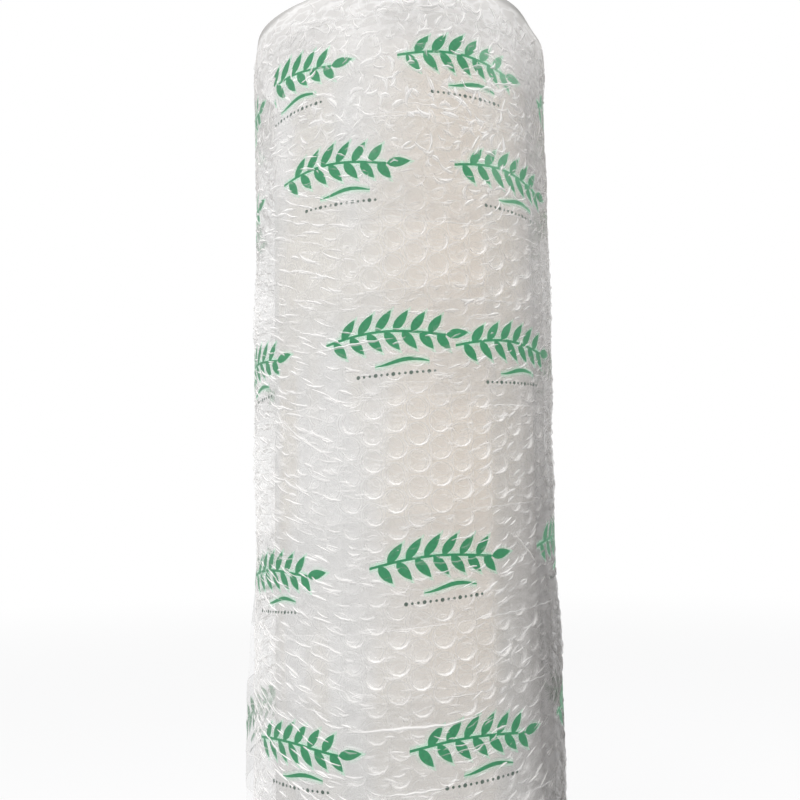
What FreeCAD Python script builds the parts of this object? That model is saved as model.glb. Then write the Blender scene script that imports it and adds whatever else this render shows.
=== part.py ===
"""Roll of stretch film packed in bubble wrap and closed with bands of clear tape.

The roll stands on its end.  The origin is the centre of the bottom end, +Z runs
along the roll's axis and the front faces -Y.  Lengths are millimetres, angles degrees.
"""
import FreeCAD, Part
import math
import os

import Sketcher
from FreeCAD import Placement, Rotation, Vector

doc = FreeCAD.newDocument("wrapped_roll")

# ---------------------------------------------------------------- driving sizes

# Rise of each tape band from the roll's left side to its right, lowest band first.
BAND_RISES = (1.0, 3.0, 4.0, 5.5, 3.5, 0.5, 0.5)

# Bare wrap below each band, lowest band first, and last the bare wrap above the top
# band.  These are shares: the length that the bands leave bare is divided by them.
BARE_SHARES = (10, 12, 24, 31, 50, 28, 2, 15)

SIZES = {
    "roll_length": 500,     # width of the film, and length of the core
    "core_bore": 76.2,      # diameter of the core's bore
    "core_wall": 5,
    "film_build": 23.9,     # depth of film wound on the core
    "wrap_overhang": 8,     # bubble wrap that stands past the film's top end
    "wrap_sheet": 4,        # thickness of one bubble sheet, which is the lap's step
    "wrap_turns": 3,        # turns of bubble sheet round the film
    "seam_angle": 172,      # direction of the bubble sheet's free edge, from +X
    "tape_width": 48,
    "tape_thickness": 0.2,
    "tape_bridge": 7,       # angle over which the tape runs down off the lap's step
}
SIZES.update({f"band_{place}_rise": rise for place, rise in enumerate(BAND_RISES, 1)})
SIZES.update({f"bare_{place}": share for place, share in enumerate(BARE_SHARES, 1)})

sizes = doc.addObject("Spreadsheet::Sheet", "sizes")
for row, (name, value) in enumerate(SIZES.items(), 1):
    sizes.set(f"A{row}", name)
    sizes.set(f"B{row}", str(value))
    sizes.setAlias(f"B{row}", name)
doc.recompute()

# Sizes that follow from the driving ones, as expressions on the sheet.
CORE_RADIUS = "(sizes.core_bore / 2 + sizes.core_wall)"
FILM_RADIUS = f"({CORE_RADIUS} + sizes.film_build)"
# The wrap's outline is a spiral of two half turns.  This is its smaller radius.
WRAP_RADIUS = f"({FILM_RADIUS} + (sizes.wrap_turns - 0.5) * sizes.wrap_sheet)"
HALF_STEP = "sizes.wrap_sheet / 2"
WRAP_LENGTH = "(sizes.roll_length + sizes.wrap_overhang)"
BAND_COUNT = len(BAND_RISES)
ALL_SHARES = " + ".join(f"sizes.bare_{place}" for place in range(1, BAND_COUNT + 2))
BARE_LENGTH = f"({WRAP_LENGTH} - {BAND_COUNT} * sizes.tape_width)"

# ---------------------------------------------------------------- sketch helpers

ORIGIN_POINT = (-1, 1)
X_AXIS, Y_AXIS = -1, -2
START, END, CENTRE = 1, 2, 3
UP = Vector(0, 0, 1)


def number(expression):
    """The value of an expression, for drawing a curve near its final size."""
    return float(sizes.evalExpression(expression))


def new_body(label):
    """Start a body whose label is also its file's name."""
    body = doc.addObject("PartDesign::Body", label)
    body.Label = label
    return body


def new_sketch(body, name, role):
    """Add a sketch on one of the body's own origin planes."""
    sketch = body.newObject("Sketcher::SketchObject", f"{body.Name}_{name}")
    plane = next(item for item in body.Origin.OriginFeatures if item.Role == role)
    sketch.AttachmentSupport = [(plane, "")]
    sketch.MapMode = "FlatFace"
    return sketch


def turn_sketch(sketch, angle):
    """Turn a sketch in its own plane."""
    sketch.AttachmentOffset = Placement(Vector(), Rotation(UP, number(angle)))
    sketch.setExpression("AttachmentOffset.Rotation.Angle", angle)


def drive(sketch, name, expression, constraint):
    """Add a named constraint and bind it to the sheet."""
    index = sketch.addConstraint(constraint)
    sketch.renameConstraint(index, name)
    sketch.setExpression(f"Constraints.{name}", expression)


def add_circle(sketch, name, radius):
    """Draw a circle round the origin."""
    drawn = number(radius)
    circle = sketch.addGeometry(Part.Circle(Vector(), UP, drawn))
    sketch.addConstraint(Sketcher.Constraint("Coincident", circle, CENTRE, *ORIGIN_POINT))
    drive(sketch, name, radius, Sketcher.Constraint("Radius", circle, drawn))


def add_spiral(sketch, name, radius, bridge=None):
    """Draw one turn of a wound sheet: two half turns and the step where they meet.

    The first half turn is round the origin.  The second is round a point half a
    sheet further along the seam, so it ends one sheet further out than the first
    began.  The closing line is the step, or with a bridge the tape's slope off it.
    """
    drawn, half_step = number(radius), number(HALF_STEP)
    slope = math.radians(number(bridge)) if bridge else 0.0
    slope_foot = Vector(drawn * math.cos(slope), drawn * math.sin(slope), 0)
    first = sketch.addGeometry(
        Part.ArcOfCircle(Part.Circle(Vector(), UP, drawn), slope, math.pi))
    second = sketch.addGeometry(Part.ArcOfCircle(
        Part.Circle(Vector(half_step, 0, 0), UP, drawn + half_step), math.pi, 2 * math.pi))
    step = sketch.addGeometry(
        Part.LineSegment(Vector(drawn + 2 * half_step, 0, 0), slope_foot))
    sketch.addConstraint([
        Sketcher.Constraint("Coincident", first, CENTRE, *ORIGIN_POINT),
        Sketcher.Constraint("Coincident", first, END, second, START),
        Sketcher.Constraint("Coincident", second, END, step, START),
        Sketcher.Constraint("Coincident", step, END, first, START),
        Sketcher.Constraint("PointOnObject", first, END, X_AXIS),
        Sketcher.Constraint("PointOnObject", second, CENTRE, X_AXIS),
        Sketcher.Constraint("PointOnObject", second, END, X_AXIS)])
    drive(sketch, f"{name}_radius", radius, Sketcher.Constraint("Radius", first, drawn))
    drive(sketch, f"{name}_half_step", HALF_STEP,
          Sketcher.Constraint("DistanceX", *ORIGIN_POINT, second, CENTRE, half_step))
    if bridge:
        drive(sketch, f"{name}_bridge", f"{radius} * sin({bridge} * 1 deg)",
              Sketcher.Constraint("DistanceY", *ORIGIN_POINT, first, START, slope_foot.y))
    else:
        sketch.addConstraint(Sketcher.Constraint("PointOnObject", first, START, X_AXIS))


def add_block(sketch, name, side, near, reach):
    """Draw a wide rectangle that starts at a distance above or below the origin."""
    near_drawn, reach_drawn = number(near), number(reach)
    bottom, top = sorted((side * near_drawn, side * (near_drawn + reach_drawn)))
    corners = [Vector(-reach_drawn, bottom, 0), Vector(reach_drawn, bottom, 0),
               Vector(reach_drawn, top, 0), Vector(-reach_drawn, top, 0)]
    lines = [sketch.addGeometry(Part.LineSegment(corners[i - 1], corners[i]))
             for i in (1, 2, 3, 0)]
    for line, following in zip(lines, lines[1:] + lines[:1]):
        sketch.addConstraint(Sketcher.Constraint("Coincident", line, END, following, START))
    base, right, lid, left = lines
    sketch.addConstraint([
        Sketcher.Constraint("Symmetric", base, START, base, END, Y_AXIS),
        Sketcher.Constraint("Vertical", right),
        Sketcher.Constraint("Horizontal", lid),
        Sketcher.Constraint("Vertical", left)])
    # A distance runs upwards, so the two points change places below the origin.
    span = (ORIGIN_POINT, (base, START)) if side > 0 else ((lid, START), ORIGIN_POINT)
    drive(sketch, f"{name}_near", near,
          Sketcher.Constraint("DistanceY", *span[0], *span[1], near_drawn))
    drive(sketch, f"{name}_width", f"2 * {reach}",
          Sketcher.Constraint("DistanceX", base, START, base, END, 2 * reach_drawn))
    drive(sketch, f"{name}_depth", reach,
          Sketcher.Constraint("DistanceY", right, START, right, END, reach_drawn))


def pad(body, sketch, length, side_type="One side"):
    """Pull a sketch up along the roll, or equally up and down."""
    feature = body.newObject("PartDesign::Pad", f"{sketch.Name}_pad")
    feature.Profile = sketch
    feature.SideType = side_type
    feature.setExpression("Length", length)


# ---------------------------------------------------------------- sub-parts

def make_tube(label, inner, outer):
    """A round tube as long as the roll, with its bottom end on the floor."""
    body = new_body(label)
    ring = new_sketch(body, "ring", "XY_Plane")
    add_circle(ring, "inner", inner)
    add_circle(ring, "outer", outer)
    pad(body, ring, "sizes.roll_length")
    return body


def make_bubble_wrap():
    """The wound bubble sheet: all its turns in one, with the free edge's step."""
    body = new_body("bubble_wrap")
    section = new_sketch(body, "section", "XY_Plane")
    add_circle(section, "film", FILM_RADIUS)
    add_spiral(section, "outline", WRAP_RADIUS)
    turn_sketch(section, "sizes.seam_angle")
    pad(body, section, WRAP_LENGTH)
    return body


def make_tape_band(place):
    """A hoop of tape round the wrap, trimmed between two planes that rise to +X."""
    body = new_body(f"tape_band_{place}")
    section = new_sketch(body, "section", "XY_Plane")
    for name, radius in (("back", WRAP_RADIUS),
                         ("face", f"({WRAP_RADIUS} + sizes.tape_thickness)")):
        add_spiral(section, name, radius, "sizes.tape_bridge")
    turn_sketch(section, "sizes.seam_angle")
    pad(body, section, f"2 * {WRAP_RADIUS} + sizes.tape_width", "Symmetric")

    edges = new_sketch(body, "edges", "XZ_Plane")
    for name, side in (("above", 1), ("below", -1)):
        add_block(edges, name, side, "sizes.tape_width / 2", f"2 * {WRAP_RADIUS}")
    turn_sketch(edges, f"sizes.band_{place}_rise")
    trim = body.newObject("PartDesign::Pocket", f"{body.Name}_trim")
    trim.Profile = edges
    trim.Type = "ThroughAll"
    trim.SideType = "Symmetric"

    shares_below = " + ".join(f"sizes.bare_{lower}" for lower in range(1, place + 1))
    body.setExpression(
        "Placement.Base.z",
        f"({place} - 0.5) * sizes.tape_width"
        f" + {BARE_LENGTH} * ({shares_below}) / ({ALL_SHARES})")
    return body


bodies = [
    make_tube("core_tube", "sizes.core_bore / 2", CORE_RADIUS),
    make_tube("film_roll", CORE_RADIUS, FILM_RADIUS),
    make_bubble_wrap(),
    *(make_tape_band(place) for place in range(1, BAND_COUNT + 1)),
]
doc.recompute()

# ---------------------------------------------------------------- checks and files

for item in doc.Objects:
    if "Invalid" in item.State or "Error" in item.State:
        raise RuntimeError(f"{item.Label} could not be built: {item.State}")
for body in bodies:
    shape = body.Shape
    if shape.isNull() or not shape.isValid() or len(shape.Solids) != 1:
        raise RuntimeError(f"{body.Label} is not one sound solid")

os.makedirs("parts", exist_ok=True)
for body in bodies:
    body.Shape.exportStep(f"parts/{body.Label}.step")
    box = body.Shape.BoundBox
    print(f"{body.Label:12s} volume {body.Shape.Volume:12.1f}"
          f"  from {box.XMin:8.2f} {box.YMin:8.2f} {box.ZMin:8.2f}"
          f"  to {box.XMax:8.2f} {box.YMax:8.2f} {box.ZMax:8.2f}")
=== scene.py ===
"""Looks of a roll of stretch film that is wound in bubble wrap and closed with tape.

Lengths are metres.  Azimuths are radians round the roll's axis from +X, turning
towards +Y, so the front of the roll is at minus a quarter turn.
"""
import math

import bmesh
import bpy
import numpy as np
from mathutils import Matrix, Vector


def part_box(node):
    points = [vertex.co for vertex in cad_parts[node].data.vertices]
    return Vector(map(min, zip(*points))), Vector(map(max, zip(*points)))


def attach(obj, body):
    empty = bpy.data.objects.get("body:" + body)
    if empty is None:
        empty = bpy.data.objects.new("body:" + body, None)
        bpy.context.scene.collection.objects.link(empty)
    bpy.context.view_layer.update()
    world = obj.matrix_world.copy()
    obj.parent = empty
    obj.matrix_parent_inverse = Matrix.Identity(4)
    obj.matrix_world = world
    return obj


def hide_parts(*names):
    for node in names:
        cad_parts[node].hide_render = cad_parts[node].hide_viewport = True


bl_info = {
    "name": "Bubble-wrapped film roll",
    "version": (1, 0, 0),
    "blender": (4, 5, 0),
    "location": "View3D > Sidebar > Film roll",
    "description": "Builds a roll of stretch film packed in bubble wrap and clear tape",
    "category": "Add Mesh",
}

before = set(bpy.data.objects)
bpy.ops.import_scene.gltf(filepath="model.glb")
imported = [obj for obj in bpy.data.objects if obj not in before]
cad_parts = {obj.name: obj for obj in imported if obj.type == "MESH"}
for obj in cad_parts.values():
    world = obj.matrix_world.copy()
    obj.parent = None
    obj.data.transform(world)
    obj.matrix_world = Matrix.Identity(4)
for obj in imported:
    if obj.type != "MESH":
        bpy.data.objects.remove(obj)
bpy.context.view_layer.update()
BANDS = sorted(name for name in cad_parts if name.startswith("tape_band_"))
MM = 0.001
FRONT = math.radians(-90)
FULL_TURN = 2 * math.pi
TAPE_WIDTH = 48 * MM
CORE_WALL = 5 * MM
# Pairs of heights between which something on the roll changes.
FLAP_HEIGHTS = (140 * MM, 240 * MM)
FLARE_HEIGHTS = (145 * MM, 245 * MM)
# Between these heights the painted shade on the roll's right side fades upwards.
SHADE_HEIGHTS = (200 * MM, 380 * MM)
BUSY_HEIGHTS = (400 * MM, 460 * MM)
BASE_HEIGHTS = (40 * MM, 270 * MM)
TOP_HEIGHTS = (475 * MM, 497 * MM)
WAVY_EDGE = 18 * MM
PALE = (0.92, 0.91, 0.89)
# Painted shade along the bubble sheet's cut edges.
CUT_EDGE_SHADE = (0.50, 0.49, 0.47)


# ---------------------------------------------------------------- settings

def length(name, description, millimetres):
    """A setting that is a length."""
    return bpy.props.FloatProperty(
        name=name, description=description, default=millimetres * MM, unit="LENGTH")


def colour_of(name, description, colour):
    """A setting that is a colour."""
    return bpy.props.FloatVectorProperty(
        name=name, description=description, default=colour, subtype="COLOR", size=3)


class WrapSettings(bpy.types.PropertyGroup):
    """Sizes of the bubble sheet."""

    pitch: length("Bubble pitch", "Distance between bubbles along a column", 11.45)
    bubble: length("Bubble width", "Diameter of a bubble at its rim", 10.2)
    depth: length("Bubble depth", "How far a bubble stands in from the flat film", 3.7)
    sheet: length("Sheet thickness", "Thickness of one turn of the bubble sheet", 4)
    turns: bpy.props.IntProperty(
        name="Turns", description="Turns of bubble sheet round the film", default=3)
    seam: bpy.props.FloatProperty(
        name="Seam", description="Azimuth of the sheet's free edge",
        default=math.radians(172), subtype="ANGLE")
    flap: bpy.props.FloatProperty(
        name="Flap", description="How far the free edge runs on at the bottom",
        default=math.radians(26), subtype="ANGLE")
    seed: bpy.props.IntProperty(
        name="Seed", description="Seed of the bubbles' small differences", default=7)


class TapeSettings(bpy.types.PropertyGroup):
    """Sizes of the tape bands and of their print."""

    width: length("Tape width", "Width of the tape", TAPE_WIDTH / MM)
    gap: length("Tape gap", "How far the tape lies off the wrap", 0.15)
    repeat: length("Print repeat", "Distance from one printed mark to the next", 85)
    seed: bpy.props.IntProperty(
        name="Seed", description="Seed of the tape's wrinkles", default=3)


class FinishSettings(bpy.types.PropertyGroup):
    """Colours of the pieces."""

    film: colour_of("Stretch film", "Colour of the wound stretch film", (0.74, 0.735, 0.715))
    haze: colour_of("Bubble film", "Colour that the clear film scatters", (0.90, 0.885, 0.862))
    # Painted shade: the colour the film turns on the roll's shaded right side.
    painted_shade: colour_of("Shaded film", "What it scatters on the roll's dusty side",
                    (0.28, 0.27, 0.26))
    print_green: colour_of("Print", "Colour of the print on the tape", (0.021, 0.26, 0.102))
    board: colour_of("Paperboard", "Colour of the core", (0.42, 0.31, 0.20))


SETTINGS = {"roll_wrap": WrapSettings, "roll_tape": TapeSettings,
            "roll_finish": FinishSettings}


# ---------------------------------------------------------------- node trees

class Wire:
    """A socket's output that takes part in Python arithmetic."""

    def __init__(self, maker, source):
        self.maker = maker
        self.source = source

    def maths(self, operation, *others):
        return self.maker.maths(operation, self, *others)

    def __add__(self, other):
        return self.maths("ADD", other)

    def __sub__(self, other):
        return self.maths("SUBTRACT", other)

    def __rsub__(self, other):
        return self.maker.maths("SUBTRACT", other, self)

    def __mul__(self, other):
        return self.maths("MULTIPLY", other)

    def __truediv__(self, other):
        return self.maths("DIVIDE", other)

    def __rtruediv__(self, other):
        return self.maker.maths("DIVIDE", other, self)

    def __pow__(self, other):
        return self.maths("POWER", other)

    def __abs__(self):
        return self.maths("ABSOLUTE")

    __radd__ = __add__
    __rmul__ = __mul__


class NodeMaker:
    """Adds nodes to one tree."""

    def __init__(self, tree):
        self.tree = tree

    def add(self, kind, settings=None, sockets=None, out=0):
        """Add a node, set it up, fill its sockets and return one of its outputs."""
        node = self.tree.nodes.new(kind)
        for name, value in (settings or {}).items():
            setattr(node, name, value)
        for key, value in (sockets or {}).items():
            self.fill(node.inputs[key], value)
        return Wire(self, node.outputs[out]) if node.outputs else node

    def fill(self, socket, value):
        """Link a wire to a socket, or set its value."""
        if isinstance(value, Wire):
            self.tree.links.new(value.source, socket)
        elif socket.type == "RGBA":
            socket.default_value = (*value, 1.0)
        else:
            socket.default_value = value

    def maths(self, operation, *values):
        return self.add("ShaderNodeMath", {"operation": operation}, dict(enumerate(values)))

    def clamp(self, value):
        return self.add("ShaderNodeClamp", {}, {"Value": value}, "Result")

    def step(self, value, low, high):
        """Rises smoothly from 0 at low to 1 at high."""
        return self.add("ShaderNodeMapRange", {"interpolation_type": "SMOOTHSTEP"},
                        {"Value": value, "From Min": low, "From Max": high}, "Result")

    def vector(self, x, y, z=0.0):
        return self.add("ShaderNodeCombineXYZ", {}, {0: x, 1: y, 2: z})

    def noise(self, place, scale, detail, flat=True):
        """Soft noise, on the first two numbers of a place or on all three."""
        return self.add("ShaderNodeTexNoise", {"noise_dimensions": "2D" if flat else "3D"}, {
            "Vector": place, "Scale": scale, "Detail": detail}, "Fac")

    def blend(self, share, first, second):
        """Mix two colours."""
        return self.add("ShaderNodeMix", {"data_type": "RGBA"},
                        {0: share, 6: first, 7: second}, 2)

    def parts(self, vector):
        """The three numbers of a vector."""
        source = self.add("ShaderNodeSeparateXYZ", {}, {0: vector}).source.node
        return [Wire(self, output) for output in source.outputs]

    def attribute(self, name, out="Fac"):
        """What the mesh keeps under a name: a number, or with out="Vector" a vector."""
        return self.add("ShaderNodeAttribute", {"attribute_name": name}, {}, out)

    def own_place(self):
        """The point's place in its piece's own coordinates."""
        return self.add("ShaderNodeTexCoord", {}, {}, "Object")

    def bump(self, height):
        return self.add("ShaderNodeBump", {}, {
            "Height": height, "Distance": 1.0, "Strength": 1.0})

    def finish(self, surface):
        """End the material's tree in a shader."""
        self.add("ShaderNodeOutputMaterial", {}, {"Surface": surface})


def darker(colour, share):
    """A share of a colour."""
    return [share * part for part in colour]


def new_material(name):
    """Start a material and return it with a maker for its emptied tree."""
    material = bpy.data.materials.new(name)
    material.use_nodes = True
    material.node_tree.nodes.clear()
    return material, NodeMaker(material.node_tree)


def finish_material(shade, sockets, bump=None):
    """End a material in one Principled shader."""
    if bump is not None:
        sockets["Normal"] = shade.bump(bump)
    shade.finish(shade.add("ShaderNodeBsdfPrincipled", {}, sockets))


def finish_clear(shade, colour, haze, gloss=0, roughness=0.2, height=None):
    """End a material in clear film: a little haze, and gloss that grows at a slant."""
    clear = shade.add("ShaderNodeBsdfTransparent")
    cloudy = shade.add("ShaderNodeBsdfDiffuse", {}, {"Color": colour})
    film = shade.add("ShaderNodeMixShader", {}, {0: shade.clamp(haze), 1: clear, 2: cloudy})
    if not gloss:
        shade.finish(film)
        return
    bumped = {} if height is None else {"Normal": shade.bump(height)}
    mirror = shade.add("ShaderNodeBsdfGlossy", {}, {
        "Color": (1, 1, 1), "Roughness": roughness, **bumped})
    slant = shade.add("ShaderNodeLayerWeight", {}, {"Blend": 0.5, **bumped}, "Facing")
    share = slant ** 5 * 0.03 + gloss
    shade.finish(shade.add("ShaderNodeMixShader", {}, {0: share, 1: film, 2: mirror}))


# ---------------------------------------------------------------- the wound sheet

def rise(values, low, high):
    """Rises smoothly from 0 at low to 1 at high."""
    share = np.clip((values - low) / (high - low), 0, 1)
    return share * share * (3 - 2 * share)


class WoundSheet:
    """Where the bubble sheet lies: flat places on the sheet become places round the roll.

    A flat place is how far along the sheet it is, its height, and its depth in from
    the flat film.  The distance along is 0 where the outermost turn begins at the
    seam, grows towards the sheet's free edge, and is negative on the inner turns.
    """

    bridge = math.radians(7)

    def __init__(self, wrap):
        low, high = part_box("bubble_wrap")
        self.wrap = wrap
        self.height = high.z
        self.small_radius = -low.y
        self.radii = [self.small_radius + wrap.sheet * (0.35 - turn)
                      for turn in range(wrap.turns)]
        starts = [0.0]
        for radius in self.radii[1:]:
            starts.append(starts[-1] - FULL_TURN * radius)
        self.starts = starts
        self.bands = []
        for name in BANDS:
            band_low, band_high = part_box(name)
            slope = (band_high.z - band_low.z - TAPE_WIDTH) / (band_high.x - band_low.x)
            self.bands.append(((band_low.z + band_high.z) / 2, slope))

    def outline(self, psi):
        """Radius of the outermost turn at an angle past the seam."""
        half = self.wrap.sheet / 2
        second = half * np.cos(psi) + np.sqrt(
            (self.small_radius + half) ** 2 - (half * np.sin(psi)) ** 2)
        radius = np.where(psi < math.pi, self.small_radius, second)
        return np.where(psi > FULL_TURN, self.small_radius + self.wrap.sheet, radius)

    def flap_end(self, up):
        """How far past the seam the free edge runs at a height."""
        return self.wrap.flap * (1 - rise(up, *FLAP_HEIGHTS))

    def taped(self, azimuth, up):
        """1 under the tape, 0 away from it."""
        cover = np.zeros_like(up)
        for centre, slope in self.bands:
            middle = centre + slope * self.small_radius * np.cos(azimuth)
            cover += np.clip(1.6 - np.abs(up - middle) / (18 * MM), 0, 1)
        return np.clip(cover, 0, 1)

    def side(self, azimuth, sign):
        """1 on the roll's left (sign -1) or right (sign 1) side, 0 at its front and back."""
        turned = sign * (np.mod(azimuth - FRONT + math.pi, FULL_TURN) - math.pi)
        return rise(turned, math.radians(8), math.radians(28)) * (
            1 - rise(turned, math.radians(95), math.radians(130)))

    def creased(self, azimuth, up):
        """How much of the sheet's surface is fine folds and not clear bubbles."""
        patches = 0.5 + 0.5 * np.sin(5 * azimuth + up / 0.021) * np.sin(3 * azimuth - up / 0.033)
        share = (0.5 * self.taped(azimuth, up) + 0.6 * self.side(azimuth, -1)
                 + 0.4 * self.side(azimuth, 1) + 0.2 * patches + 0.5 * rise(up, *BUSY_HEIGHTS))
        return np.clip(share, 0, 0.9)

    def relief(self, azimuth, up):
        """How far the whole wrap stands out of its true spiral."""
        waves = sum(
            size * np.sin(turns * azimuth + up * FULL_TURN / (length * MM) + start)
            for size, turns, length, start in (
                (0.35, 2, 160, 0.3), (0.3, -3, 210, 1.9), (0.22, 5, 74, 4.0),
                (0.2, -6, 58, 2.2), (0.14, 9, 43, 5.1), (0.12, -11, 37, 0.9)))
        flare = 1.7 * (1 - rise(up, *FLARE_HEIGHTS)) * (0.55 + 0.45 * np.cos(azimuth))
        lean = np.clip((up - self.height + 9 * MM) / (9 * MM), 0, 1) ** 2 * (
            0.8 + 0.7 * np.sin(7 * azimuth + 4.1) + 0.5 * np.sin(13 * azimuth + 2))
        return (waves + flare - 0.5 * self.taped(azimuth, up) - lean) * MM

    def wind(self, along, up, depth):
        """Turn flat places on the sheet into places in space."""
        turn = np.zeros(len(along), int)
        for start in self.starts[:-1]:
            turn += along < start - 1e-9
        psi = (along - np.take(self.starts, turn)) / np.take(self.radii, turn)
        azimuth = self.wrap.seam + psi
        radius = (self.outline(psi) - turn * self.wrap.sheet - depth
                  + self.relief(azimuth, up) * (1 - 0.3 * turn))
        return np.stack([radius * np.cos(azimuth), radius * np.sin(azimuth), up], 1)

    def outside(self, azimuth, up):
        """Radius of the wrap's outer surface, with the step at the free edge bridged."""
        psi = np.mod(azimuth - self.wrap.seam, FULL_TURN)
        past = psi - self.flap_end(up)
        lift = np.clip(1 - past / self.bridge, 0, 1) * np.where(psi < math.pi, 1, 0)
        return self.outline(psi) + self.wrap.sheet * lift + self.relief(azimuth, up)


# ---------------------------------------------------------------- mesh helpers

def add_object(name, data):
    """Put an object in the scene."""
    thing = bpy.data.objects.new(name, data)
    bpy.context.scene.collection.objects.link(thing)
    return thing


def new_piece(name, mesh, material, nodes=(), clear=False):
    """Put a finished mesh in the scene as a piece of the roll.

    Light passes a clear piece unhindered, and only the eye and mirrors see its haze.
    """
    piece = add_object(name, mesh)
    mesh.materials.clear()
    mesh.materials.append(material)
    mesh.polygons.foreach_set("use_smooth", [True] * len(mesh.polygons))
    mesh.update()
    piece.visible_shadow = piece.visible_diffuse = not clear
    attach(piece, "root")
    if nodes:
        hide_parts(*nodes)
    return piece


def grid_faces(columns, rows):
    """Four-sided faces of a grid of points, numbered row by row."""
    first = (np.arange(rows - 1)[:, None] * columns + np.arange(columns - 1)[None, :]).ravel()
    return np.stack([first, first + 1, first + columns + 1, first + columns], 1)


def mesh_of(name, places, faces):
    """A mesh from arrays of places and faces."""
    mesh = bpy.data.meshes.new(name)
    mesh.from_pydata(places.tolist(), [], faces.tolist())
    return mesh


def places_of(mesh):
    """The mesh's points as rows of three numbers."""
    places = np.zeros(len(mesh.vertices) * 3)
    mesh.vertices.foreach_get("co", places)
    return places.reshape(-1, 3)


def stored(mesh, name):
    """The numbers that are kept at the mesh's points."""
    values = np.zeros(len(mesh.vertices))
    mesh.attributes[name].data.foreach_get("value", values)
    return values


def store(mesh, name, values):
    """Keep a number or a vector at each point, for the materials to read."""
    kind = "FLOAT" if values.ndim == 1 else "FLOAT_VECTOR"
    attribute = mesh.attributes.get(name) or mesh.attributes.new(name, kind, "POINT")
    attribute.data.foreach_set("value" if kind == "FLOAT" else "vector",
                               values.astype(np.float32).ravel())


def lathe(name, outline, segments):
    """Turn a closed outline of (radius, height) points round the roll's axis."""
    angles = np.linspace(0, FULL_TURN, segments, endpoint=False)
    outline = np.array(outline)
    count = len(outline)
    radius, height = np.tile(outline[:, 0], segments), np.tile(outline[:, 1], segments)
    azimuth = np.repeat(angles, count)
    places = np.stack([radius * np.cos(azimuth), radius * np.sin(azimuth), height], 1)
    here = (np.arange(segments)[:, None] * count + np.arange(count)[None, :])
    up = np.roll(here, -1, 1)
    faces = np.stack([here, np.roll(here, -1, 0), np.roll(up, -1, 0), up], 2).reshape(-1, 4)
    return mesh_of(name, places, faces)


# ---------------------------------------------------------------- geometry trees

def start_tree(name, inputs):
    """Start a geometry tree: a maker for its nodes, and its named inputs."""
    tree = bpy.data.node_groups.new(name, "GeometryNodeTree")
    for label, kind in inputs.items():
        tree.interface.new_socket(label, in_out="INPUT", socket_type="NodeSocket" + kind)
    tree.interface.new_socket("Geometry", in_out="OUTPUT", socket_type="NodeSocketGeometry")
    make = NodeMaker(tree)
    source = tree.nodes.new("NodeGroupInput")
    return make, {label: Wire(make, source.outputs[label]) for label in inputs}


def end_tree(make, points, template, material, **varied):
    """Set a template on the points, and make the copies real."""
    shape = make.add("GeometryNodeObjectInfo", {}, {"Object": template}, "Geometry")
    copies = make.add("GeometryNodeInstanceOnPoints", {}, {
        "Points": points, "Instance": shape, **varied})
    real = make.add("GeometryNodeRealizeInstances", {}, {"Geometry": copies})
    made = make.add("GeometryNodeSetMaterial", {}, {"Geometry": real, "Material": material})
    output = make.tree.nodes.new("NodeGroupOutput")
    make.tree.links.new(made.source, output.inputs[0])
    return make.tree


def lattice_tree(template, material):
    """A tree that sets a template on a lattice whose odd columns are half a step up."""
    lengths = ("Column gap", "Row gap", "First column", "First row", "Size spread", "Tilt",
               "Turn", "Jitter")
    make, given = start_tree("bubble_lattice", {
        "Columns": "Int", "Rows": "Int", **dict.fromkeys(lengths, "Float"), "Seed": "Int"})
    line = make.add("GeometryNodeMeshLine", {}, {
        "Count": given["Columns"] * given["Rows"], "Offset": (0, 0, 0)})
    index = make.add("GeometryNodeInputIndex")
    column = (index / given["Rows"] + 1e-4).maths("FLOOR")
    row = index - column * given["Rows"]
    odd = column - (column / 2).maths("FLOOR") * 2
    place = make.vector(given["First column"] + column * given["Column gap"],
                        given["First row"] + (row + odd * 0.5) * given["Row gap"])

    def random(middle, reach, shift):
        """A number within reach of a middle value, drawn anew for each copy."""
        return make.add("FunctionNodeRandomValue", {"data_type": "FLOAT"}, {
            2: middle - reach, 3: middle + reach, "Seed": given["Seed"] + shift}, 1)

    spread, tilt, jitter = given["Size spread"], given["Tilt"], given["Jitter"]
    nudge = make.vector(random(0.0, jitter, 6), random(0.0, jitter, 7))
    points = make.add("GeometryNodeSetPosition", {}, {
        "Geometry": line, "Position": place, "Offset": nudge})
    turn = make.vector(random(0.0, tilt, 3), random(0.0, tilt, 4),
                       random(0.0, given["Turn"], 5))
    scale = make.vector(*(random(1.0, spread, shift) for shift in range(3)))
    return end_tree(make, points, template, material, Scale=scale, Rotation=turn)


def repeat_tree(template, material):
    """A tree that repeats a template along a line."""
    make, given = start_tree("print_repeat", {
        "Count": "Int", "First": "Float", "Repeat": "Float"})
    line = make.add("GeometryNodeMeshLine", {}, {
        "Count": given["Count"], "Start Location": make.vector(given["First"], 0.0),
        "Offset": make.vector(given["Repeat"], 0.0)})
    return end_tree(make, line, template, material)


def grown(tree, values):
    """Run a geometry tree on its own and return the result as a plain mesh."""
    holder = add_object("holder", bpy.data.meshes.new("holder"))
    modifier = holder.modifiers.new("grow", "NODES")
    modifier.node_group = tree
    for item in tree.interface.items_tree:
        if item.in_out == "INPUT" and item.name in values:
            modifier[item.identifier] = values[item.name]
    shown = holder.evaluated_get(bpy.context.evaluated_depsgraph_get())
    mesh = bpy.data.meshes.new_from_object(shown)
    holder.modifiers.remove(modifier)
    bpy.data.objects.remove(holder)
    return mesh


# ---------------------------------------------------------------- materials

def bubble_distance(along, up, wrap, first_column, first_row):
    """Distance on the sheet to the centre of the nearest bubble."""
    column, row = wrap.pitch * math.sqrt(3) / 2, wrap.pitch

    def lattice(shift):
        across = (along - (first_column + shift * column)).maths("WRAP", column, -column)
        above = (up - (first_row + shift * row / 2)).maths("WRAP", row / 2, -row / 2)
        return (across * across + above * above) ** 0.5

    return lattice(0).maths("MINIMUM", lattice(1))


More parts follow.
